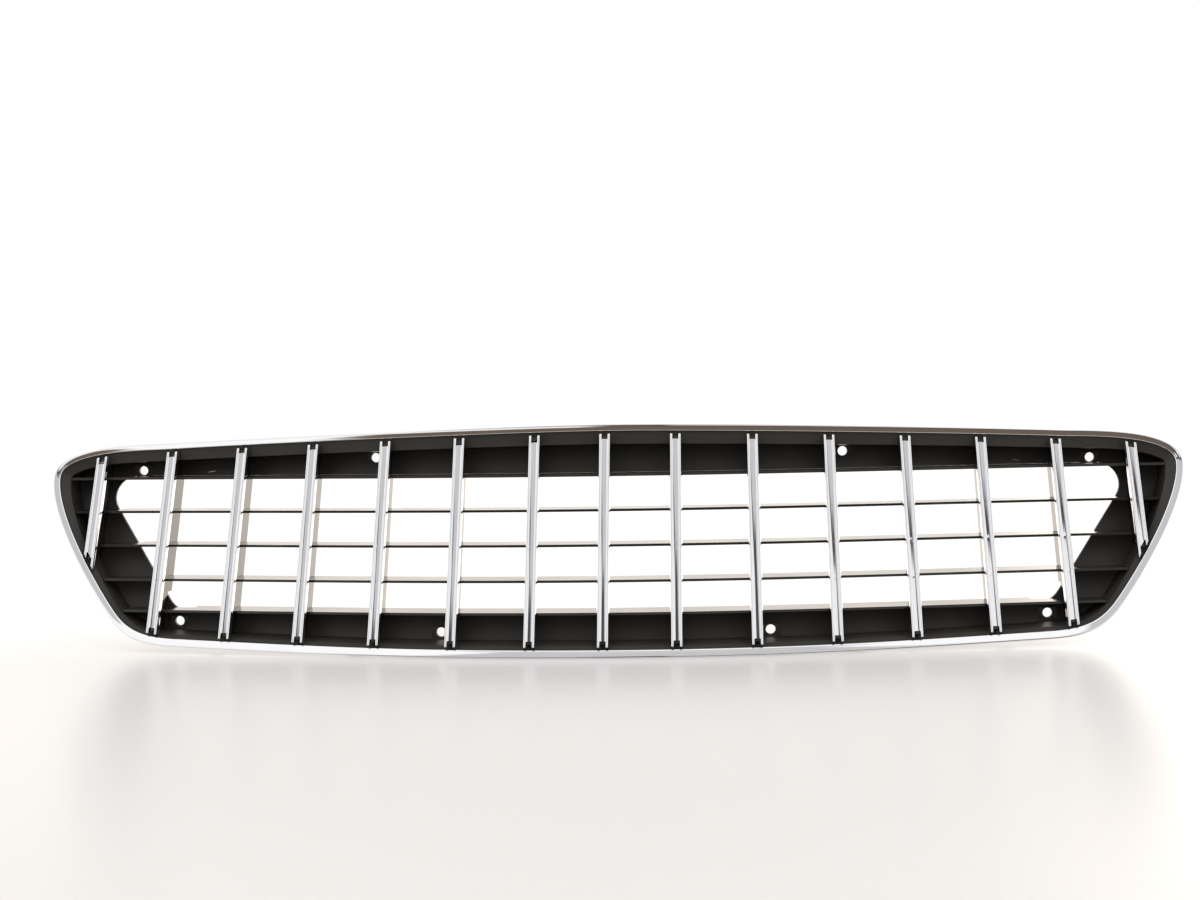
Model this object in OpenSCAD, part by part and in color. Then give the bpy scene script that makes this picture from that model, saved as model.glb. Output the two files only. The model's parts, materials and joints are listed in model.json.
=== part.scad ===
// Upper front grille of a small car: a bright surround on a black tray, five
// louvre blades, fifteen upright fins and a bright bar on the nose of each fin.
// Millimetres. +X is the car's left-right axis, -Y faces forward, +Z is up.
// The origin is midway between the two upper inner screw holes, on their seats.
// Depths are measured backwards (+Y) from the face, the raked and bowed surface
// that the front edges of the louvre blades lie on.

/* [Face] */
// Backward lean of the face, in mm of depth per mm of height
rake = 0.495; // [0.3:0.005:0.6]
// Main part of the bow in plan, at bow_x from the middle
bow_square = 49.2; // [30:0.1:60]
// Part of the bow that flattens it again towards the ends
bow_quartic = 13.3; // [0:0.1:15]

/* [Louvre blades] */
// Height of each blade's underside above the middle blade's, top to bottom
louvre_z = [45.4, 22.6, 0, -22.5, -42.7]; // [-42.7:0.1:45.5]
// Thickness of a blade
louvre_t = 1.7; // [1.2:0.1:2.2]
// Depth of the blades and fins where they stand in the opening
blade_depth = 25; // [22:0.5:27]

/* [Fins and bars] */
// Distance from the middle bar to the next one
first_pitch = 47.7; // [47:0.1:48.2]
// Distance between the other bars
pitch = 51.8; // [51.4:0.1:51.9]
// Thickness of a fin
fin_t = 3; // [2:0.1:3.4]
// Width across a bright bar
bar_w = 8.1; // [7.5:0.1:9]
// How far a bar stands in front of the face, square to the bar
bar_proud = 8; // [7:0.1:9]
// Width of the channel along the middle of a bar
channel_w = 3.8; // [2.4:0.1:4.2]

/* [Surround] */
// Width of the surround's bright face
ring_w = 5; // [4.5:0.1:5.6]
// How far the face's outer edge stands in front of the surround's back
ring_h = 3.2; // [2.6:0.1:3.6]
// How much lower the face's inner edge is than its outer edge
ring_fall = 0.6; // [0:0.1:1]
// Wall of the surround's skirt
skirt_t = 1.6; // [1.2:0.1:1.8]

/* [Tray] */
// Depth of the rear flange's front face
flange_depth = 16; // [15:0.5:18]
// Thickness of the rear flange
flange_t = 2.5; // [2:0.1:3]
// Distance of the outer pair of upper screw holes from the middle
upper_outer_x = 334; // [330:0.1:338]
// Distance of the inner pair of upper screw holes from the middle
upper_inner_x = 161.7; // [159:0.1:195]
// Distance of the outer pair of lower screw holes from the middle
lower_outer_x = 294; // [290:0.1:296]
// Distance of the inner pair of lower screw holes from the middle
lower_inner_x = 108.8; // [108.4:0.1:140]
// Diameter of the screw holes
screw_hole_d = 6.4; // [5:0.1:6.6]

/* [Hidden] */
$fn = 48;
gap = 0.1;          // assembly gap between neighbouring pieces
eps = 0.01;

bow_x = 300;        // where the two bow figures are measured
fin_count = 15;
louvre_count = len(louvre_z);
middle_fin = (fin_count - 1) / 2;

// Half outlines, seen from the front, as chains of cubic curves that run from
// the top middle round the right end to the bottom middle: [start, handle,
// handle, end] for the top edge, upper corner, side, lower corner and bottom.
outer_curves = [
    [[0, 80.7], [70, 80.7], [224, 75.5], [310, 71.5]],
    [[310, 71.5], [335, 70.3], [393, 71.7], [393, 48]],
    [[393, 48], [393, 22], [356.5, -26], [340, -44.4]],
    [[340, -44.4], [326, -60], [311, -63], [288, -63.6]],
    [[288, -63.6], [168, -67.3], [128, -68], [0, -68]]
];
opening_curves = [
    [[0, 47.3], [115, 47.3], [225, 47.3], [338, 47.3]],
    [[338, 47.3], [349, 47.3], [357.5, 35.5], [349.6, 25]],
    [[349.6, 25], [334.6, 5.3], [319.6, -14.4], [304.5, -34.2]],
    [[304.5, -34.2], [300.5, -39.5], [297, -42.8], [290, -42.8]],
    [[290, -42.8], [200, -42.8], [100, -42.8], [0, -42.8]]
];
curve_steps = [14, 12, 12, 8, 14];
outline_low = -68;
outline_high = 80.7;

ring_back = -4;     // depth of the surround's back face
ring_edge_r = 1;    // rounding of its front edges
ring_lip = 0.8;     // thickness of its inner edge behind the rounding
skirt_end = 4;      // depth that the surround's skirt reaches
rim_depth = ring_back + gap;
rim_in = skirt_t + gap;
lip_end = 3.7;      // depth that the tray's lip reaches inside the skirt
lip_in = 0.2;       // how far the tray stays outside the surround's inner edge
lip_t = 2.3;

// Inset of the tray's wall from the outline: at the bottom, and what the top adds
shoulder_inset = [6.6, 7.2];    // at the face
root_inset = [8.1, 7.2];        // at the flange
wall_t = 2.4;

upper_hole_z = [50.9, 58.7];    // outer and inner pair
lower_hole_z = [-49.9, -55];
seat_w = 12;        // flat screw seats in the flange
seat_h = 7.4;
seat_t = 3;
seat_depth = flange_depth + flange_t / 2;
joint_x = 280;      // where the tray's rails meet its ends
joint_z = [-49.4, 52.2];    // middles of the flange at the joints
key_l = 5;          // dovetail keys of the rails
key_neck = 3.6;
key_head = 5.4;
recess = 12;        // how far a seat's recess and a slot reach past their ends
span = 400;         // longer than any bar

half_lap = blade_depth / 2;
wall_gap = 0.3;     // clearance of blades and fins from the tray
stub_depth = flange_depth - wall_gap; // reach of blades and fins in front of the flange
blade_step = 20;    // distance between points along a blade's bowed edges
overhang = 1;       // how far a blade's full depth stops short of the opening's edge
fin_nose = -5.5;    // depth of a fin's front edge, inside its bar
fin_neck = -2.5;    // depth where a fin's nose widens towards the tray's wall
fin_end_inset = 8.2;
bar_end_inset = 6.8;
end_bar_inset = 7.4;
bar_base = 3.6;     // height of a bar's back above the face
channel_h = 2.3;    // depth of the channel below the ridges
fork_l = 3.5;       // length of the notch in each end of a bar

// Snap tabs of the surround, by station along the right half of the outline
tab_stations = [2, 7, 12, 31, 47, 52, 57];
tab_w = 12;
tab_end = 14;       // depth that a tab reaches
window_w = 7;
window = [8, 11.5]; // depths of the window in a tab
catch_slack = 0.3;
catch_inset = 0.5;  // inset of a catch's outer end

louvre_names = [for (k = [1:louvre_count]) str("louvre_", k)];
fin_names = [for (i = [1:fin_count]) str("fin_", i < 10 ? "0" : "", i)];
bar_names = [for (i = [1:fin_count]) str("chrome_bar_", i < 10 ? "0" : "", i)];
tray_names = ["tray_rail_upper", "tray_rail_lower", "tray_end_left", "tray_end_right"];

// ---- the face ----

function bow(x) = bow_square * pow(x / bow_x, 2) - bow_quartic * pow(x / bow_x, 4);
function face_y(x, z) = bow(x) + rake * z;
function on_face(p, depth) = [p[0], face_y(p[0], p[1]) + depth, p[1]];
function fin_x(i) = i == middle_fin ? 0
    : sign(i - middle_fin) * (first_pitch + pitch * (abs(i - middle_fin) - 1));

// ---- outlines ----

function cubic(c, t) =
    pow(1 - t, 3) * c[0] + 3 * pow(1 - t, 2) * t * c[1]
    + 3 * (1 - t) * pow(t, 2) * c[2] + pow(t, 3) * c[3];
function chain(curves) = [
    curves[0][0],
    for (s = [0:len(curves) - 1])
        for (k = [1:curve_steps[s]])
            cubic(curves[s], k / curve_steps[s])
];
function closed(half) = concat(half, [
    for (i = [len(half) - 2:-1:1]) [-half[i][0], half[i][1]]
]);
function outward(path) = [
    for (i = [0:len(path) - 1])
        let (along = path[(i + 1) % len(path)] - path[(i + len(path) - 1) % len(path)])
        [-along[1], along[0]] / norm(along)
];

outer = closed(chain(outer_curves));
opening = closed(chain(opening_curves));
normals = outward(outer);

function grown(inset, z) =
    inset[0] + inset[1] * pow((z - outline_low) / (outline_high - outline_low), 2);
function inset_path(inset) = [
    for (i = [0:len(outer) - 1]) outer[i] - grown(inset, outer[i][1]) * normals[i]
];

shoulder = inset_path(shoulder_inset + [wall_gap, 0]);
root = inset_path(root_inset + [wall_gap, 0]);
fin_end = inset_path([fin_end_inset, 0]);

top_corner = curve_steps[0];                // station where the upper corner begins
side = curve_steps[0] + curve_steps[1];     // station where the side begins
bottom = len(outer) / 2;                    // station of the bottom middle
opening_reach = max([for (p = opening) p[0]]);

// Height of a path's upper and lower edge at x, and its half width at height z
function upper_edge(path, x) = lookup(abs(x), [for (i = [0:side]) path[i]]);
function lower_edge(path, x) = lookup(abs(x), [for (i = [side:bottom]) path[i]]);
function half_width(path, z) =
    lookup(z, [for (i = [top_corner:bottom]) [path[i][1], path[i][0]]]);
// The narrower of a path's half widths over a blade's thickness
function blade_half(path, z) = min(half_width(path, z), half_width(path, z + louvre_t));

// ---- swept shells ----

// A closed tube through matching sections; each section lists its points
// clockwise as seen looking along the path.
module tube(sections) {
    m = len(sections[0]);
    n = len(sections);
    points = [for (section = sections) for (p = section) p];
    faces = [
        for (i = [0:n - 1])
            for (j = [0:m - 1])
                let (a = i * m + j, b = i * m + (j + 1) % m,
                     c = ((i + 1) % n) * m + (j + 1) % m, d = ((i + 1) % n) * m + j)
                for (face = [[a, c, b], [a, d, c]]) face
    ];
    polyhedron(points, faces);
}

// Point of a section: inset is inward from the outline, depth is behind the face
function placed(i, inset, depth) = on_face(outer[i] - inset * normals[i], depth);

// Section of the surround: a skirt, a front face that falls slightly inwards
// between rounded edges, and an inner lip
ring_front = ring_back - ring_h;
surround_profile = concat(
    [[0, skirt_end]],
    [for (a = [0:30:90])
        [ring_edge_r * (1 - cos(a)), ring_front + ring_edge_r * (1 - sin(a))]],
    [for (a = [90:-30:0])
        [ring_w - ring_edge_r * (1 - cos(a)),
         ring_front + ring_fall + ring_edge_r * (1 - sin(a))]],
    [[ring_w, ring_back - ring_lip], [ring_w - ring_lip, ring_back],
     [skirt_t, ring_back], [skirt_t, skirt_end]]
);

function surround_section(i) = [for (p = surround_profile) placed(i, p[0], p[1])];

function tray_section(i) = let (
    z = outer[i][1],
    shoulder = grown(shoulder_inset, z),
    root = grown(root_inset, z)
) [
    placed(i, rim_in, lip_end),
    placed(i, rim_in, rim_depth),
    placed(i, ring_w - lip_in, rim_depth),
    placed(i, shoulder, 0),
    placed(i, root, flange_depth),
    on_face(opening[i], flange_depth),
    on_face(opening[i], flange_depth + flange_t),
    placed(i, root - wall_t, flange_depth + flange_t),
    placed(i, shoulder - wall_t, wall_t),
    placed(i, rim_in + lip_t, 0),
    placed(i, rim_in + lip_t, lip_end)
];

// ---- parts ----

holes = [
    for (side_sign = [-1, 1])
        for (p = [[upper_outer_x, upper_hole_z[0]], [upper_inner_x, upper_hole_z[1]],
                  [lower_outer_x, lower_hole_z[0]], [lower_inner_x, lower_hole_z[1]]])
            [side_sign * p[0], p[1]]
];
// Centre of the upper inner pair of holes, on the back of their seats
origin = on_face([upper_inner_x, upper_hole_z[1]], seat_depth + seat_t / 2);

module at_origin() {
    translate([0, -origin[1], -origin[2]]) children();
}

// A box along Y, centred on p in the front view, between two depths at p
module block(p, w, h, depths) {
    y = face_y(p[0], p[1]);
    translate([p[0] - w / 2, y + depths[0], p[1] - h / 2])
        cube([w, depths[1] - depths[0], h]);
}

// Places children at snap tab k and at its mirror image: X runs along the
// outline, Y backwards and Z inward
module at_tab(k) {
    for (mirrored = [0, 1])
        mirror([mirrored, 0, 0])
            translate(on_face(outer[k], 0))
                rotate([0, -atan2(normals[k][1], normals[k][0]) - 90, 0])
                    children();
}

// The whole tray, before it is parted at the joints
module tray() {
    catch_w = window_w - 2 * catch_slack;
    seat = [seat_depth - seat_t / 2, seat_depth + seat_t / 2];
    difference() {
        union() {
            difference() {
                tube([for (i = [0:len(outer) - 1]) tray_section(i)]);
                for (p = holes)
                    block(p, seat_w, seat_h, [seat[0] - recess, seat[1] + recess]);
            }
            for (p = holes)
                block(p, seat_w + 2 * eps, seat_h + 2 * eps, seat);
            for (k = tab_stations)
                at_tab(k)
                    translate([-catch_w / 2, window[0] + catch_slack, catch_inset])
                        cube([catch_w, window[1] - window[0] - 2 * catch_slack,
                              grown(shoulder_inset, outer[k][1]) - wall_t / 2 - catch_inset]);
        }
        for (p = holes)
            translate(on_face(p, seat_depth))
                rotate([90, 0, 0])
                    cylinder(d = screw_hole_d, h = 2 * seat_t, center = true);
    }
}

// Outline of a rail's dovetail key, or of the slot for it when slack is given
function key(z, slack) = [
    [joint_x + slack, z - key_neck / 2 - slack],
    [joint_x + key_l + slack, z - key_head / 2 - slack],
    [joint_x + key_l + slack, z + key_head / 2 + slack],
    [joint_x + slack, z + key_neck / 2 + slack]
];
function reversed(path) = [for (i = [len(path) - 1:-1:0]) path[i]];

// Prism along Y over a shape drawn in the front view
module front_prism(path) {
    rotate([90, 0, 0])
        linear_extrude(height = span, center = true)
            polygon(path);
}

// Rail 0 is the upper one and rail 1 the lower one
module tray_rail(i) {
    far = i == 0 ? span / 2 : -span / 2;
    right = i == 0
        ? concat([[joint_x, 0]], key(joint_z[1], 0), [[joint_x, far]])
        : concat([[joint_x, 0]], reversed(key(joint_z[0], 0)), [[joint_x, far]]);
    color("#1b1b1c") at_origin() intersection() {
        tray();
        front_prism(concat(right, reversed([for (p = right) [-p[0], p[1]]])));
    }
}

module tray_end(side_sign) {
    color("#1b1b1c") at_origin() intersection() {
        tray();
        mirror([side_sign < 0 ? 1 : 0, 0, 0])
            front_prism(concat(
                [[joint_x + gap, span / 2], [span, span / 2],
                 [span, -span / 2], [joint_x + gap, -span / 2]],
                key(joint_z[0], gap), key(joint_z[1], gap)
            ));
    }
}

module chrome_surround() {
    color("#d9dbdd") at_origin() {
        tube([for (i = [0:len(outer) - 1]) surround_section(i)]);
        for (k = tab_stations)
            at_tab(k)
                difference() {
                    translate([-tab_w / 2, 0, gap])
                        cube([tab_w, tab_end, skirt_t - 2 * gap]);
                    translate([-window_w / 2, window[0], -skirt_t])
                        cube([window_w, window[1] - window[0], 3 * skirt_t]);
                }
    }
}

// Prism of everything inside the outline shrunk by inset
module well(inset) {
    front_prism(inset_path([inset, 0]));
}

// Outline of a blade in plan: full depth in the opening, and short stubs that
// run on in front of the flange to the tray's walls
function blade_plan(z) = let (
    inner = blade_half(opening, z) - overhang,
    tip = blade_half(shoulder, z),
    tip_back = blade_half(root, z),
    xs = concat([for (x = [0:blade_step:inner - overhang]) x], [inner]),
    right = concat(
        [for (x = xs) [x, face_y(x, z)]],
        [[tip, face_y(tip, z)], [tip_back, face_y(tip_back, z) + stub_depth],
         [inner, face_y(inner, z) + stub_depth]],
        [for (j = [len(xs) - 1:-1:0]) [xs[j], face_y(xs[j], z) + blade_depth]]
    )
) concat(right, [for (j = [len(right) - 2:-1:1]) [-right[j][0], right[j][1]]]);

module louvre(k) {
    z = louvre_z[k];
    slot_w = fin_t + gap;
    color("#232324") at_origin() difference() {
        translate([0, 0, z]) linear_extrude(height = louvre_t) polygon(blade_plan(z));
        for (i = [0:fin_count - 1])
            block([fin_x(i), z], slot_w, span, [-recess, half_lap]);
    }
}

// Side view of a fin as [height, depth] corners, from the top of its nose round
// to the bottom; a fin that crosses the opening reaches back through it
function fin_corners(x) = concat(
    [[upper_edge(fin_end, x), fin_nose], [upper_edge(fin_end, x), fin_neck],
     [upper_edge(shoulder, x), 0], [upper_edge(root, x), stub_depth]],
    abs(x) > opening_reach ? [] : [
        [upper_edge(opening, x) - gap, stub_depth],
        [upper_edge(opening, x) - gap, blade_depth],
        [lower_edge(opening, x) + gap, blade_depth],
        [lower_edge(opening, x) + gap, stub_depth]
    ],
    [[lower_edge(root, x), stub_depth], [lower_edge(shoulder, x), 0],
     [lower_edge(fin_end, x), fin_neck], [lower_edge(fin_end, x), fin_nose]]
);

module fin(i) {
    x = fin_x(i);
    color("#2b2b2c") at_origin() difference() {
        translate([x - fin_t / 2, 0, 0])
            rotate([90, 0, 90])
                linear_extrude(height = fin_t)
                    polygon([for (c = fin_corners(x)) [face_y(x, c[0]) + c[1], c[0]]]);
        for (z = louvre_z)
            translate([x - fin_t, face_y(x, z) + half_lap, z - gap / 2])
                cube([2 * fin_t, blade_depth, louvre_t + gap]);
    }
}

// Section of a bar, square to its length, with its front upwards: a base with
// a groove for the fin's nose, and two rounded ridges beside a flat channel
module bar_profile() {
    base_h = 1.8;
    groove_h = 0.8;
    step = 0.35;
    ridge_w = (bar_w - channel_w) / 2 - step;
    ridge_y = bar_proud - ridge_w / 2;
    difference() {
        union() {
            translate([-bar_w / 2, bar_base]) square([bar_w, base_h]);
            translate([-bar_w / 2 + step, bar_base])
                square([bar_w - 2 * step, ridge_y - bar_base]);
            for (s = [-1, 1])
                translate([s * (channel_w + ridge_w) / 2, ridge_y]) circle(d = ridge_w);
        }
        translate([-channel_w / 2, bar_proud - channel_h]) square([channel_w, bar_proud]);
        translate([-(fin_t + gap) / 2, bar_base - base_h])
            square([fin_t + gap, base_h + groove_h]);
    }
}

// The space that a bar's ends keep inside; the end bars also stop short of the
// slanting sides
module bar_space(x, is_end) {
    if (is_end) {
        intersection() {
            well(bar_end_inset);
            union() {
                well(end_bar_inset);
                translate([x - bar_w, -span / 2, 0]) cube([2 * bar_w, span, span]);
            }
        }
    } else {
        well(bar_end_inset);
    }
}

module chrome_bar(i) {
    x = fin_x(i);
    is_end = i == 0 || i == fin_count - 1;
    low_inset = is_end ? end_bar_inset : bar_end_inset;
    notches = [[upper_edge(inset_path([bar_end_inset, 0]), x) - fork_l, 0],
               [lower_edge(inset_path([low_inset, 0]), x) + fork_l, -span]];
    color("#e4e6e8") at_origin() difference() {
        intersection() {
            translate([x, bow(x), 0])
                rotate([-atan(rake), 0, 0])
                    linear_extrude(height = span, center = true)
                        mirror([0, 1]) bar_profile();
            bar_space(x, is_end);
        }
        for (notch = notches)
            translate([x - channel_w / 2, -span / 2, notch[0] + notch[1]])
                cube([channel_w, span, span]);
    }
}

tray_rail(0);  // tray_rail_upper
tray_rail(1);  // tray_rail_lower
tray_end(-1);  // tray_end_left
tray_end(1);  // tray_end_right
chrome_surround();
for (k = [0:louvre_count - 1]) louvre(k);
for (i = [0:fin_count - 1]) fin(i);
for (i = [0:fin_count - 1]) chrome_bar(i);
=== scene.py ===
"""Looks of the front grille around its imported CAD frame. Lengths are in metres in the row
frame unless a name ends in _MM. -Y faces forward, +Z is up."""

import json
import math

import bmesh
import bpy
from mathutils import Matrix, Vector, noise


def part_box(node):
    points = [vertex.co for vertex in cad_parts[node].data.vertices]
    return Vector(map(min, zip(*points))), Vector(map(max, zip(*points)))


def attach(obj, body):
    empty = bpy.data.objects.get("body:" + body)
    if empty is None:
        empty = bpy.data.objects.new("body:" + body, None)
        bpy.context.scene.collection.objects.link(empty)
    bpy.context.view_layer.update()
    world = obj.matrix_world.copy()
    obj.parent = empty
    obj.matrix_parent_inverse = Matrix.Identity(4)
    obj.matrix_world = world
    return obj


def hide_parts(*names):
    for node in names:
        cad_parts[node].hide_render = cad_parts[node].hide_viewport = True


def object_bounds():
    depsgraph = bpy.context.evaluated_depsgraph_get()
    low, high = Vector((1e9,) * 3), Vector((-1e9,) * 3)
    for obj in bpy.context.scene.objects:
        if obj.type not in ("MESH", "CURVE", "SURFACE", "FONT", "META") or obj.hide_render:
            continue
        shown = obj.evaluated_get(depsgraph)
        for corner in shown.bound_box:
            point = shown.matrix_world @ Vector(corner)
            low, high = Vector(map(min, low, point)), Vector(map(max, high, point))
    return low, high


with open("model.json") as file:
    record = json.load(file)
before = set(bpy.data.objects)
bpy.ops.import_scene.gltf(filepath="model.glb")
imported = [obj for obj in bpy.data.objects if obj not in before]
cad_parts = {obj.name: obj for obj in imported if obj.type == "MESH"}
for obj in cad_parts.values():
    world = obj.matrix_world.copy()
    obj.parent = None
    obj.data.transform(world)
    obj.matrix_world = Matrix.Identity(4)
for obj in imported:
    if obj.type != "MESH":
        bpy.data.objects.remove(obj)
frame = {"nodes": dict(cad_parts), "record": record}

cad_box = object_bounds()
MM = 0.001

# ---- the design's own surface and outline, as the CAD source has them (millimetres) ----

RAKE = 0.495
BOW_X_MM = 300.0
BOW_SQUARE_MM = 49.2
BOW_QUARTIC_MM = 13.3
OUTLINE_LOW_MM = -68.0
SEAT_BACK_MM = 18.75
RING_W_MM = 5.0
RING_H_MM = 3.2
RING_FALL_MM = 0.6
RING_EDGE_R_MM = 1.0
RING_LIP_MM = 0.8
SKIRT_T_MM = 1.6
RING_BACK_MM = -4.0
SKIRT_END_MM = 4.0
SKIRT_CHAMFER_MM = 0.3
CROWN_MM = 0.10     # how far the face bulges between its rounded edges
EDGE_STEPS = 8
OUTER_CURVES_MM = (
    ((0, 80.7), (70, 80.7), (224, 75.5), (310, 71.5)),
    ((310, 71.5), (335, 70.3), (393, 71.7), (393, 48)),
    ((393, 48), (393, 22), (356.5, -26), (340, -44.4)),
    ((340, -44.4), (326, -60), (311, -63), (288, -63.6)),
    ((288, -63.6), (168, -67.3), (128, -68), (0, -68)),
)
OUTLINE_STEPS = (70, 44, 44, 30, 64)
CAD_STEPS = (14, 12, 12, 8, 14)
SIDE_CURVE = 2
TAB_STATIONS = (2, 7, 12, 31, 47, 52, 57)
TAB_W_MM = 12.0
TAB_END_MM = 14.0
WINDOW_W_MM = 7.0
WINDOW_MM = (8.0, 11.5)
TAB_START_MM = 1.0
TAB_SIDES_MM = (0.1, 1.5)   # insets of its outer and inner face

# bars
RIDGE_STEPS = 16
BAR_W_MM = 8.1
BAR_PROUD_MM = 8.0
CHANNEL_W_MM = 3.8
CHANNEL_H_MM = 2.3
BAR_BACK_MM = 3.6       # height of a bar's back in front of the face
GROOVE_HALF_MM = 1.55   # half width and top of the groove for the fin's nose
GROOVE_TOP_MM = 4.4
SHOULDER_MM = ((0.0, 5.2), (0.08, 5.5), (0.2, 5.8), (0.35, 6.2))    # inset and height
CHANNEL_FOOT_MM = ((0.0, 0.3), (0.07, 0.09), (0.3, 0.0))    # inset and height above the floor
CHANNEL_FLAT_MM = 0.6
FORK_MM = 3.5
BAR_END_INSET_MM = 6.8
END_BAR_INSET_MM = 7.4
CHANNEL_FLOOR_MM = BAR_PROUD_MM - CHANNEL_H_MM
PRONG_FIRST = 3     # back point at the channel's width
PRONG_LAST = 9 + RIDGE_STEPS    # inner foot of the ridge's arc
TIP_R_MM = 0.45
TIP_ANGLES = (0.0, 0.4, 0.8, 1.2, 1.57)
TIP_START = 0.45    # share of the fork where its prongs start
BAR_STEPS = 150
WAVE_MM = 0.03
# Shallow creases where the louvres behind cross the bars, deepest on some of them
CREASE_AT_MM = (23.45, 0.85, -21.65)
CREASE_MM = 0.07
CREASE_REACH_MM = 0.9
CREASE_SLANT = 0.15
CREASED_BARS = (1, 2, 3, 4, 11, 12, 13)


def bow(x):
    return BOW_SQUARE_MM * (x / BOW_X_MM) ** 2 - BOW_QUARTIC_MM * (x / BOW_X_MM) ** 4


def face_y(x, z):
    return bow(x) + RAKE * z


# The row frame's origin in the outline's own millimetres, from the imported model
LIFT_MM = OUTLINE_LOW_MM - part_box("chrome_surround")[0].z / MM
INNER_SCREW_X_MM = next(
    m["dims"]["spacing_x_mm"] / 2 for m in frame["record"]["mounts"] if m["name"] == "upper_inner_screws"
)
PUSH_MM = face_y(INNER_SCREW_X_MM, LIFT_MM) + SEAT_BACK_MM


def placed(x, y, z):
    """A point of the design's millimetres in the row frame."""
    return Vector((x, y - PUSH_MM, z - LIFT_MM)) * MM


def cubic(c, t):
    weights = ((1 - t) ** 3, 3 * (1 - t) ** 2 * t, 3 * (1 - t) * t * t, t ** 3)
    return Vector([sum(w * p[k] for w, p in zip(weights, c)) for k in (0, 1)])


def half_outline(steps):
    points = [cubic(OUTER_CURVES_MM[0], 0)]
    for curve, count in zip(OUTER_CURVES_MM, steps):
        points += [cubic(curve, (k + 1) / count) for k in range(count)]
    return points


def closed(half):
    return half + [Vector((-p.x, p.y)) for p in reversed(half[1:-1])]


def normals_of(path):
    out = []
    for i in range(len(path)):
        along = path[(i + 1) % len(path)] - path[i - 1]
        out.append(Vector((-along.y, along.x)).normalized())
    return out


def on_outline(point, normal, inset, depth):
    p = point - normal * inset
    return placed(p.x, face_y(p.x, p.y) + depth, p.y)


def edge_at(path, x):
    """Height of a chain of points at x, where their x runs one way."""
    x = abs(x)
    for a, b in zip(path, path[1:]):
        if min(a.x, b.x) <= x <= max(a.x, b.x) and a.x != b.x:
            return a.y + (b.y - a.y) * (x - a.x) / (b.x - a.x)
    return path[-1].y


# ---- meshes ----


def mesh_object(name, bm, smooth_deg=35):
    bmesh.ops.recalc_face_normals(bm, faces=bm.faces)
    mesh = bpy.data.meshes.new(name)
    bm.to_mesh(mesh)
    bm.free()
    mesh.shade_smooth()
    mesh.set_sharp_from_angle(angle=math.radians(smooth_deg))
    obj = bpy.data.objects.new(name, mesh)
    bpy.context.scene.collection.objects.link(obj)
    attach(obj, "root")
    return obj


def skin(bm, ring_a, ring_b):
    """Joins two rings of points with faces."""
    count = len(ring_a)
    for j in range(count):
        k = (j + 1) % count
        bm.faces.new((ring_a[j], ring_a[k], ring_b[k], ring_b[j]))


def surround_profile():
    """Section of the surround as (inset, depth): skirt, crowned front face and inner lip."""
    r = RING_EDGE_R_MM
    front = RING_BACK_MM - RING_H_MM
    chamfer = SKIRT_CHAMFER_MM
    points = [(0.0, SKIRT_END_MM - chamfer), (0.0, 0.0)]
    for k in range(EDGE_STEPS + 1):
        a = math.pi / 2 * k / EDGE_STEPS
        points.append((r * (1 - math.cos(a)), front + r * (1 - math.sin(a))))
    for k in range(1, EDGE_STEPS):
        t = k / EDGE_STEPS
        depth = front + RING_FALL_MM * t - CROWN_MM * 4 * t * (1 - t)
        points.append((r + (RING_W_MM - 2 * r) * t, depth))
    for k in range(EDGE_STEPS, -1, -1):
        a = math.pi / 2 * k / EDGE_STEPS
        depth = front + RING_FALL_MM + r * (1 - math.sin(a))
        points.append((RING_W_MM - r * (1 - math.cos(a)), depth))
    points += [(RING_W_MM, RING_BACK_MM - RING_LIP_MM), (RING_W_MM - RING_LIP_MM, RING_BACK_MM)]
    points += [(SKIRT_T_MM, RING_BACK_MM), (SKIRT_T_MM, 0.0), (SKIRT_T_MM, SKIRT_END_MM - chamfer)]
    points += [(SKIRT_T_MM - chamfer, SKIRT_END_MM), (chamfer, SKIRT_END_MM)]
    return points


def add_tab(bm, point, normal):
    """A flat tab with a window, running backwards from the skirt."""
    along = Vector((normal.y, -normal.x))
    base = face_y(point.x, point.y)

    def at(u, depth, inward):
        p = point + along * u - normal * inward
        return bm.verts.new(placed(p.x, base + depth, p.y))

    def rectangle(width, ends):
        (start, end), half = ends, width / 2
        return [(-half, start), (half, start), (half, end), (-half, end)]

    outer = rectangle(TAB_W_MM, (TAB_START_MM, TAB_END_MM))
    inner = rectangle(WINDOW_W_MM, WINDOW_MM)
    near, far = TAB_SIDES_MM
    walls = ((outer, near), (outer, far), (inner, far), (inner, near))
    rings = [[at(u, d, inset) for u, d in outline] for outline, inset in walls]
    for a, b in zip(rings, rings[1:] + rings[:1]):
        skin(bm, a, b)


def make_surround():
    bm = bmesh.new()
    path = closed(half_outline(OUTLINE_STEPS))
    normals = normals_of(path)
    profile = surround_profile()
    rings = [
        [bm.verts.new(on_outline(p, n, inset, depth)) for inset, depth in profile]
        for p, n in zip(path, normals)
    ]
    for a, b in zip(rings, rings[1:] + rings[:1]):
        skin(bm, a, b)
    coarse = closed(half_outline(CAD_STEPS))
    coarse_normals = normals_of(coarse)
    for k in TAB_STATIONS:
        p, n = coarse[k], coarse_normals[k]
        add_tab(bm, p, n)
        add_tab(bm, Vector((-p.x, p.y)), Vector((-n.x, n.y)))
    obj = mesh_object("chrome_surround_bead", bm)
    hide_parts("chrome_surround")
    return obj


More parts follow.
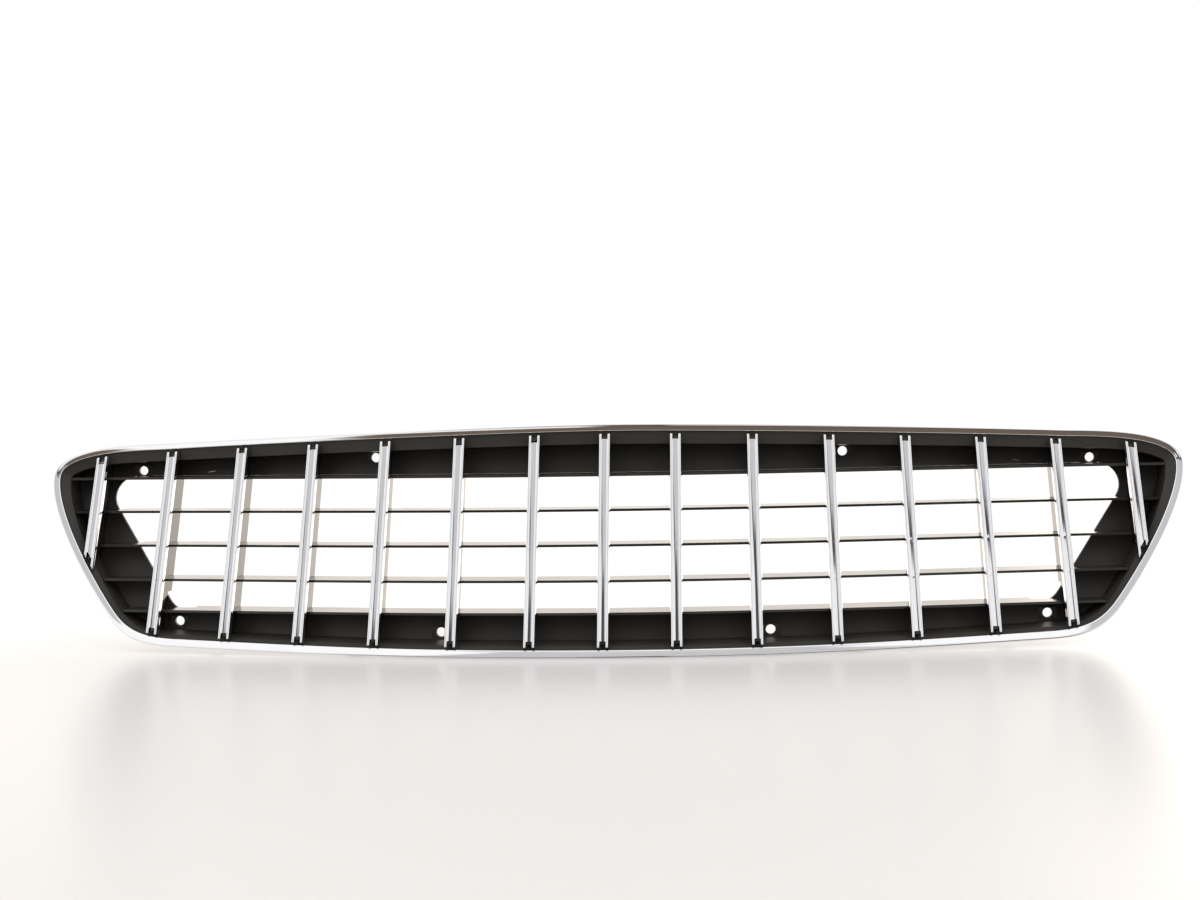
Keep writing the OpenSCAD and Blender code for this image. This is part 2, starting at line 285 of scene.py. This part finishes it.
def bar_half_profile():
    """Right half of a bar's section, square to its length, as (x, height in front of the face):
    from the middle of the groove at the back round to the middle of the channel."""
    half = BAR_W_MM / 2
    inner = CHANNEL_W_MM / 2
    ridge_r = (half - SHOULDER_MM[-1][0] - inner) / 2
    ridge_x = inner + ridge_r
    ridge_y = BAR_PROUD_MM - ridge_r
    points = [(0.0, GROOVE_TOP_MM), (GROOVE_HALF_MM, GROOVE_TOP_MM), (GROOVE_HALF_MM, BAR_BACK_MM)]
    points += [(inner, BAR_BACK_MM), (half, BAR_BACK_MM)]
    points += [(half - inset, height) for inset, height in SHOULDER_MM]
    for k in range(RIDGE_STEPS + 1):
        a = math.pi * k / RIDGE_STEPS
        points.append((ridge_x + ridge_r * math.cos(a), ridge_y + ridge_r * math.sin(a)))
    points += [(inner - inset, CHANNEL_FLOOR_MM + height) for inset, height in CHANNEL_FOOT_MM]
    points += [(CHANNEL_FLAT_MM, CHANNEL_FLOOR_MM), (0.0, CHANNEL_FLOOR_MM)]
    return points


def make_bar(i, name, inset_top, inset_low):
    """One bright bar: a long section that follows its fin's nose, with forked ends."""
    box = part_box(name)
    x_mid = (box[0].x + box[1].x) / 2 / MM
    half = bar_half_profile()
    loop = half + [(-px, py) for px, py in reversed(half[1:-1])]
    cos_rake = math.cos(math.atan(RAKE))

    def place(px, py, z):
        """A point py in front of the face, square to the bar, at height z of its own."""
        lift = max(0.0, (py - CHANNEL_FLOOR_MM) / CHANNEL_H_MM)
        wave = noise.noise(Vector((i * 7.3, z * 0.05, px * 0.2)))
        push = WAVE_MM * wave * min(1.0, lift + 0.4)
        for k, crossing in enumerate(CREASE_AT_MM):
            depth = CREASE_MM * (0.6 + 0.8 * noise.noise(Vector((i * 3.1, k * 5.7, px * 0.3))))
            if i not in CREASED_BARS or k == 0:
                depth *= 0.2
            off = (z - crossing - CREASE_SLANT * px) / CREASE_REACH_MM
            push += depth * math.exp(-(off ** 2)) * min(1.0, lift + 0.3)
        y = bow(x_mid) + RAKE * z - py / cos_rake
        return placed(x_mid + px, y + push, z)

    low = {px: edge_at(inset_low, x_mid + px) for px, _ in loop}
    top = {px: edge_at(inset_top, x_mid + px) for px, _ in loop}
    bm = bmesh.new()
    rings = []
    for k in range(BAR_STEPS + 1):
        s = k / BAR_STEPS
        ring = []
        for px, py in loop:
            height = low[px] + FORK_MM + (top[px] - low[px] - 2 * FORK_MM) * s
            ring.append(bm.verts.new(place(px, py, height)))
        rings.append(ring)
    for a, b in zip(rings, rings[1:]):
        skin(bm, a, b)
    first, last = PRONG_FIRST, PRONG_LAST
    right = list(range(first, last + 1))
    left = [len(loop) - j for j in reversed(right)]
    channel = list(range(last, len(loop) - last + 1))
    back = list(range(len(loop) - first, len(loop))) + list(range(first + 1))
    for base, ends, sign in ((rings[0], low, -1), (rings[-1], top, 1)):
        bm.faces.new([base[j] for j in channel + back])
        for prong in (right, left):
            cx = sum(loop[j][0] for j in prong) / len(prong)
            cy = sum(loop[j][1] for j in prong) / len(prong)
            previous = [base[j] for j in prong]
            reach = [(FORK_MM * TIP_START, 0.0)]
            for a in TIP_ANGLES:
                reach.append((FORK_MM - TIP_R_MM * (1 - math.sin(a)), TIP_R_MM * (1 - math.cos(a))))
            for along, shrink in reach:
                current = []
                for j in prong:
                    px, py = loop[j]
                    z = ends[px] - sign * (FORK_MM - along)
                    gap = max(math.hypot(cx - px, cy - py), 1e-6)
                    share = min(shrink / gap, 0.6)
                    current.append(bm.verts.new(place(px + (cx - px) * share, py + (cy - py) * share, z)))
                skin(bm, previous, current)
                previous = current
            bm.faces.new(previous)
    obj = mesh_object(name + "_ridges", bm, 40)
    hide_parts(name)
    return obj


def make_bars():
    bars = []
    names = sorted(n for n in frame["nodes"] if n.startswith("chrome_bar"))
    fine = closed(half_outline(OUTLINE_STEPS))
    normals = normals_of(fine)
    side_from = sum(OUTLINE_STEPS[:SIDE_CURVE])
    bottom = sum(OUTLINE_STEPS)

    def inset(mm):
        return [fine[i] - normals[i] * mm for i in range(bottom + 1)]

    common, held_back = inset(BAR_END_INSET_MM), inset(END_BAR_INSET_MM)
    for i, name in enumerate(names):
        is_end = i in (0, len(names) - 1)
        low = (held_back if is_end else common)[side_from:]
        bars.append(make_bar(i, name, common[: side_from + 1], low))
    return bars


# ---- materials ----


def new_material(name):
    material = bpy.data.materials.new(name)
    material.use_nodes = True
    nodes = material.node_tree.nodes
    return material, nodes, material.node_tree.links, nodes["Principled BSDF"]


def noise_node(nodes, links, coords, scale, detail):
    n = nodes.new("ShaderNodeTexNoise")
    n.inputs["Scale"].default_value = scale
    n.inputs["Detail"].default_value = detail
    links.new(coords, n.inputs["Vector"])
    return n.outputs["Fac"]


def ranged(nodes, links, value, low, high, to_low, to_high):
    m = nodes.new("ShaderNodeMapRange")
    for socket, number in (("From Min", low), ("From Max", high), ("To Min", to_low), ("To Max", to_high)):
        m.inputs[socket].default_value = number
    links.new(value, m.inputs["Value"])
    return m.outputs["Result"]


def math_node(nodes, links, operation, *values):
    m = nodes.new("ShaderNodeMath")
    m.operation = operation
    for k, value in enumerate(values):
        if isinstance(value, (int, float)):
            m.inputs[k].default_value = value
        else:
            links.new(value, m.inputs[k])
    return m.outputs[0]


def smooth_range(nodes, links, value, low, high):
    m = nodes.new("ShaderNodeMapRange")
    m.interpolation_type = "SMOOTHSTEP"
    m.inputs["From Min"].default_value = low
    m.inputs["From Max"].default_value = high
    links.new(value, m.inputs["Value"])
    return m.outputs["Result"]


def colour_mix(nodes, links, factor, a, b):
    m = nodes.new("ShaderNodeMix")
    m.data_type = "RGBA"
    links.new(factor, m.inputs[0])
    for socket, value in ((m.inputs[6], a), (m.inputs[7], b)):
        if isinstance(value, tuple):
            socket.default_value = (*value, 1.0)
        else:
            links.new(value, socket)
    return m.outputs[2]


def band(nodes, links, value, low_from, low_to, high_from, high_to):
    """One between two limits, with a soft step at each."""
    rise = smooth_range(nodes, links, value, low_from, low_to)
    fall = smooth_range(nodes, links, value, high_from, high_to)
    return math_node(nodes, links, "SUBTRACT", rise, fall)


def satin_black(name, low_colour, high_colour, low_roughness, high_roughness, specular):
    material, nodes, links, bsdf = new_material(name)
    coords = nodes.new("ShaderNodeTexCoord").outputs["Object"]
    cloud = noise_node(nodes, links, coords, 28.0, 3.0)
    ramp = nodes.new("ShaderNodeValToRGB")
    ramp.color_ramp.elements[0].color = (*low_colour, 1)
    ramp.color_ramp.elements[1].color = (*high_colour, 1)
    links.new(cloud, ramp.inputs["Fac"])
    links.new(ramp.outputs["Color"], bsdf.inputs["Base Color"])
    links.new(ranged(nodes, links, cloud, 0.3, 0.7, low_roughness, high_roughness), bsdf.inputs["Roughness"])
    bsdf.inputs["IOR"].default_value = 1.5
    bsdf.inputs["Specular IOR Level"].default_value = specular
    grain = noise_node(nodes, links, coords, 1500.0, 2.0)
    bump = nodes.new("ShaderNodeBump")
    bump.inputs["Strength"].default_value = 0.02
    bump.inputs["Distance"].default_value = 0.0001
    links.new(grain, bump.inputs["Height"])
    links.new(bump.outputs["Normal"], bsdf.inputs["Normal"])
    return material


def bright_chrome():
    material, nodes, links, bsdf = new_material("bright_chrome_plate")
    coords = nodes.new("ShaderNodeTexCoord").outputs["Object"]
    bsdf.inputs["Metallic"].default_value = 1.0
    cloud = noise_node(nodes, links, coords, 60.0, 4.0)
    ramp = nodes.new("ShaderNodeValToRGB")
    ramp.color_ramp.elements[0].color = (0.85, 0.85, 0.86, 1)
    ramp.color_ramp.elements[1].color = (0.92, 0.92, 0.93, 1)
    links.new(cloud, ramp.inputs["Fac"])
    links.new(ramp.outputs["Color"], bsdf.inputs["Base Color"])
    links.new(ranged(nodes, links, cloud, 0.3, 0.7, 0.015, 0.045), bsdf.inputs["Roughness"])
    waves = noise_node(nodes, links, coords, 45.0, 1.0)
    bump = nodes.new("ShaderNodeBump")
    bump.inputs["Strength"].default_value = 0.04
    bump.inputs["Distance"].default_value = 0.0004
    links.new(waves, bump.inputs["Height"])
    links.new(bump.outputs["Normal"], bsdf.inputs["Normal"])
    return material


def soften(obj):
    """Rounds the sharp edges of a CAD node for the render, without touching its mesh."""
    weld = obj.modifiers.new("weld", "WELD")
    weld.merge_threshold = 1e-6
    bevel = obj.modifiers.new("soft_edges", "BEVEL")
    bevel.width = 0.2 * MM
    bevel.segments = 2
    bevel.limit_method = "ANGLE"
    bevel.angle_limit = math.radians(40)
    bevel.harden_normals = True


def finish_black_nodes(tray_material, blade_material):
    for name, obj in frame["nodes"].items():
        if name.startswith("chrome"):
            continue
        is_tray = name.startswith("tray")
        obj.data.materials.clear()
        obj.data.materials.append(tray_material if is_tray or name == "louvre_1" else blade_material)
        if not is_tray:
            soften(obj)


# ---- stage ----

FLOOR_BEHIND_M = (-0.10, 0.22)      # where the table melts into the glow behind the grille
FLOOR_AHEAD_M = (0.42, 0.54)        # where mirrored rays stop seeing it in front
GLOW_TO_CAMERA = (1.1, 1.1, 1.1)
GLOW_TO_MIRRORS = (1.75, 1.60, 1.44)
TENT_WHITE = (1.08, 1.08, 1.08)
TENT_WARM = (1.50, 1.40, 1.29)
LAMP = (2.9, 2.65, 2.38)
ROOF_GREY = (0.62, 0.62, 0.63)
PATCH_WHITE = (0.95, 0.95, 0.96)
ROOM_LOW = (0.16, 0.12, 0.09)
ROOM_HIGH = (0.085, 0.08, 0.088)
FILL = (0.62, 0.59, 0.55)
BACKDROP = (1.05, 1.05, 1.05)


def floor_material():
    """Pale glossy table that melts into the bright backdrop behind the grille and, away from
    the camera's own rays, ends in front of it."""
    material, nodes, links, bsdf = new_material("pale_table")
    output = nodes["Material Output"]
    bsdf.inputs["Base Color"].default_value = (0.46, 0.45, 0.446, 1)
    bsdf.inputs["Emission Color"].default_value = (1.0, 0.99, 0.985, 1)
    bsdf.inputs["Emission Strength"].default_value = 0.29
    bsdf.inputs["Roughness"].default_value = 0.28
    bsdf.inputs["Specular IOR Level"].default_value = 0.15
    parts = nodes.new("ShaderNodeSeparateXYZ")
    links.new(nodes.new("ShaderNodeTexCoord").outputs["Object"], parts.inputs[0])
    camera = nodes.new("ShaderNodeLightPath").outputs["Is Camera Ray"]
    glow = nodes.new("ShaderNodeEmission")
    links.new(colour_mix(nodes, links, camera, GLOW_TO_MIRRORS, GLOW_TO_CAMERA), glow.inputs["Color"])
    behind = smooth_range(nodes, links, parts.outputs["Y"], *FLOOR_BEHIND_M)
    shaded = nodes.new("ShaderNodeMixShader")
    links.new(behind, shaded.inputs[0])
    links.new(bsdf.outputs[0], shaded.inputs[1])
    links.new(glow.outputs[0], shaded.inputs[2])
    ahead = math_node(nodes, links, "MULTIPLY", parts.outputs["Y"], -1.0)
    front = smooth_range(nodes, links, ahead, *FLOOR_AHEAD_M)
    not_camera = math_node(nodes, links, "SUBTRACT", 1.0, camera)
    unseen = math_node(nodes, links, "MULTIPLY", front, not_camera)
    dark = nodes.new("ShaderNodeEmission")
    dark.inputs["Strength"].default_value = 0.03
    final = nodes.new("ShaderNodeMixShader")
    links.new(unseen, final.inputs[0])
    links.new(shaded.outputs[0], final.inputs[1])
    links.new(dark.outputs[0], final.inputs[2])
    links.new(final.outputs[0], output.inputs["Surface"])
    return material


def make_floor():
    bm = bmesh.new()
    bmesh.ops.create_circle(bm, cap_ends=True, radius=6.0, segments=96)
    mesh = bpy.data.meshes.new("floor")
    bm.to_mesh(mesh)
    bm.free()
    obj = bpy.data.objects.new("floor", mesh)
    obj.location = (0, 0, cad_box[0].z - 0.0002)
    bpy.context.scene.collection.objects.link(obj)
    obj.data.materials.append(floor_material())


def world_light():
    """Bright tent all round, warm behind the grille, with the dim room showing through its
    open front. The camera itself sees plain white."""
    world = bpy.data.worlds.new("studio")
    bpy.context.scene.world = world
    world.use_nodes = True
    nodes, links = world.node_tree.nodes, world.node_tree.links

    def times(a, b):
        return math_node(nodes, links, "MULTIPLY", a, b)

    def inverse(value):
        return math_node(nodes, links, "SUBTRACT", 1.0, value)

    def step(value, low, high):
        return smooth_range(nodes, links, value, low, high)

    def mix(factor, a, b):
        return colour_mix(nodes, links, factor, a, b)

    parts = nodes.new("ShaderNodeSeparateXYZ")
    links.new(nodes.new("ShaderNodeTexCoord").outputs["Generated"], parts.inputs[0])
    x, y, z = parts.outputs
    azimuth = math_node(nodes, links, "ARCTAN2", x, times(y, -1.0))
    ahead = times(step(azimuth, -0.57, -0.49), inverse(step(azimuth, 0.56, 0.66)))
    # The opening's top edge slopes up from the left
    capped = math_node(nodes, links, "MINIMUM", azimuth, 0.05)
    height = math_node(nodes, links, "MULTIPLY_ADD", capped, -0.16, z)
    opening = times(ahead, inverse(step(height, 0.726, 0.745)))
    tent = mix(step(y, 0.1, 0.85), TENT_WHITE, TENT_WARM)
    # Brighter lamp behind on the right, which the left fins' sides mirror
    tent = mix(times(step(x, 0.14, 0.24), step(y, 0.5, 0.9)), tent, LAMP)
    roof = mix(times(ahead, inverse(step(z, 0.90, 0.98))), tent, ROOF_GREY)
    # Light patches low on both sides of the opening
    right_patch = times(band(nodes, links, z, 0.64, 0.67, 0.718, 0.730), step(azimuth, 0.06, 0.10))
    left_patch = times(band(nodes, links, z, 0.52, 0.56, 0.64, 0.68), step(azimuth, -0.05, -0.15))
    room = mix(step(z, 0.50, 0.68), ROOM_LOW, ROOM_HIGH)
    around = mix(opening, roof, room)
    around = mix(math_node(nodes, links, "MAXIMUM", left_patch, right_patch), around, PATCH_WHITE)
    path = nodes.new("ShaderNodeLightPath")
    around = mix(times(path.outputs["Is Diffuse Ray"], opening), around, FILL)
    seen = mix(path.outputs["Is Camera Ray"], around, BACKDROP)
    links.new(seen, nodes["Background"].inputs["Color"])


def make_camera():
    data = bpy.data.cameras.new("camera")
    data.sensor_width = 36.0
    data.lens = 53.96
    data.clip_start, data.clip_end = 0.05, 50
    camera = bpy.data.objects.new("camera", data)
    camera.location = (0.06828, -1.24497, 0.05297)
    camera.rotation_euler = [math.radians(a) for a in (87.7029, 0.9929, 3.3379)]
    bpy.context.scene.collection.objects.link(camera)
    bpy.context.scene.camera = camera


tray_black = satin_black(
    "satin_black_tray", (0.046, 0.043, 0.038), (0.058, 0.054, 0.048), 0.40, 0.50, 0.3
)
blade_black = satin_black(
    "satin_black_blades", (0.022, 0.020, 0.0175), (0.030, 0.0275, 0.024), 0.15, 0.21, 0.55
)
chrome = bright_chrome()
finish_black_nodes(tray_black, blade_black)
for piece in [make_surround(), *make_bars()]:
    piece.data.materials.append(chrome)
make_floor()
world_light()
make_camera()
bpy.context.scene.view_settings.view_transform = "Standard"
